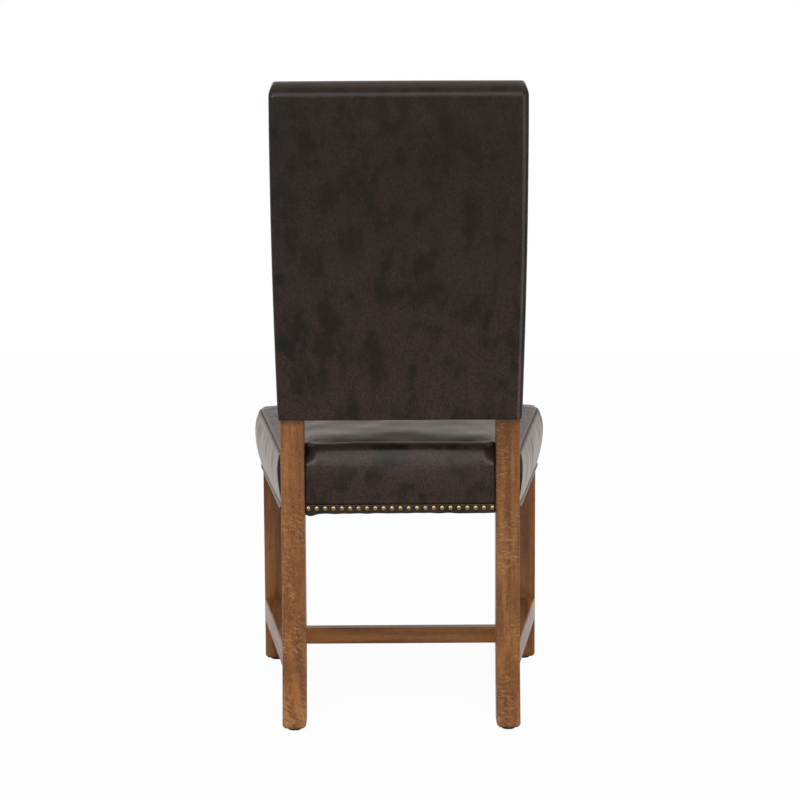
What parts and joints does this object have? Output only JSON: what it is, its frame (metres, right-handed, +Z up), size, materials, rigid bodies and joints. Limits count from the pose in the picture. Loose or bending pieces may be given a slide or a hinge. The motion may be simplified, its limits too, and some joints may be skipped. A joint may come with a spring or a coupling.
{
  "type": "dining chair",
  "caption": "High-back dining chair with a wooden H-stretcher frame, a boxed leather seat with a row of domed nails along its rear edge, and a fully padded leather back.",
  "frame": {"origin": "on the floor, under the middle of the chair's overall width and depth", "axes": "+Z up; the chair's front faces -Y; +X is to the right of someone who faces its front, and is called right in the names"},
  "size_m": [0.5468, 0.6141, 1.0804],
  "materials": {
    "oak": "stained and lightly figured, satin",
    "frame_wood": "raw, planed",
    "leather": "distressed dark brown, soft sheen",
    "nail_brass": "antiqued",
    "webbing": "woven jute",
    "foam": "open-cell foam",
    "wadding": "loose fibre",
    "dust_cloth": "non-woven black",
    "screw_steel": "zinc plated",
    "glide_plastic": "black, matt"
  },
  "bodies": {
    "root": {"rear_post_left": "oak", "rear_post_right": "oak", "front_leg_left": "oak", "front_leg_right": "oak", "side_stretcher_left": "oak", "side_stretcher_right": "oak", "cross_stretcher": "oak", "front_seat_rail": "frame_wood", "rear_seat_rail": "frame_wood", "side_seat_rail_left": "frame_wood", "side_seat_rail_right": "frame_wood", "front_corner_block_left": "frame_wood", "front_corner_block_right": "frame_wood", "rear_corner_block_left": "frame_wood", "rear_corner_block_right": "frame_wood", "corner_block_screws": "screw_steel", "seat_webbing": "webbing", "seat_foam": "foam", "seat_wadding": "wadding", "seat_cover": "leather", "seat_band": "leather", "band_nails": "nail_brass", "dust_cover": "dust_cloth", "crest_rail": "frame_wood", "lower_back_rail": "frame_wood", "back_webbing": "webbing", "back_foam": "foam", "back_wadding": "wadding", "back_cover": "leather", "back_bottom_panel": "leather", "floor_glides": "glide_plastic"}
  },
  "joints": []
}
